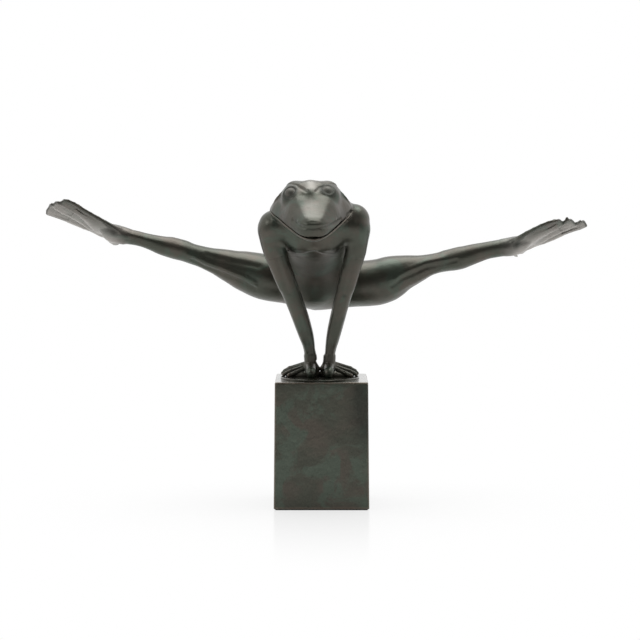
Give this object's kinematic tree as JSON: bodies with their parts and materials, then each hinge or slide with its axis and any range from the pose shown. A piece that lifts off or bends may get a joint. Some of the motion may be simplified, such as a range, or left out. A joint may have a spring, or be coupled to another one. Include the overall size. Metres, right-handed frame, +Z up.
{
  "type": "frog figurine",
  "caption": "Patinated bronze frog in a leapfrog handstand, legs stretched out sideways with webbed feet, on a square block plinth.",
  "frame": {"origin": "centre of the felt's underside, where the plinth rests", "axes": "+Z up, the frog faces -Y, its left side is +X"},
  "size_m": [0.5301, 0.1877, 0.3135],
  "materials": {
    "bronze": "dark green-brown patina over cast bronze, waxed to a satin sheen",
    "plate": "bare bronze plate, dulled",
    "fixings": "plain steel fixings",
    "felt": "thin dark green felt"
  },
  "bodies": {
    "root": {"plinth_shell": "bronze", "base_plate": "plate", "base_screws": "fixings", "felt_base": "felt", "hand_disc": "bronze", "hand_studs": "fixings", "stud_washers": "fixings", "stud_nuts": "fixings", "left_hand": "bronze", "right_hand": "bronze", "left_arm": "bronze", "right_arm": "bronze", "wrist_pins": "bronze", "shoulder_pins": "bronze", "torso": "bronze", "head": "bronze", "nape_pin": "bronze", "left_leg": "bronze", "right_leg": "bronze", "hip_pins": "bronze", "left_foot": "bronze", "right_foot": "bronze", "ankle_pins": "bronze"}
  },
  "joints": []
}
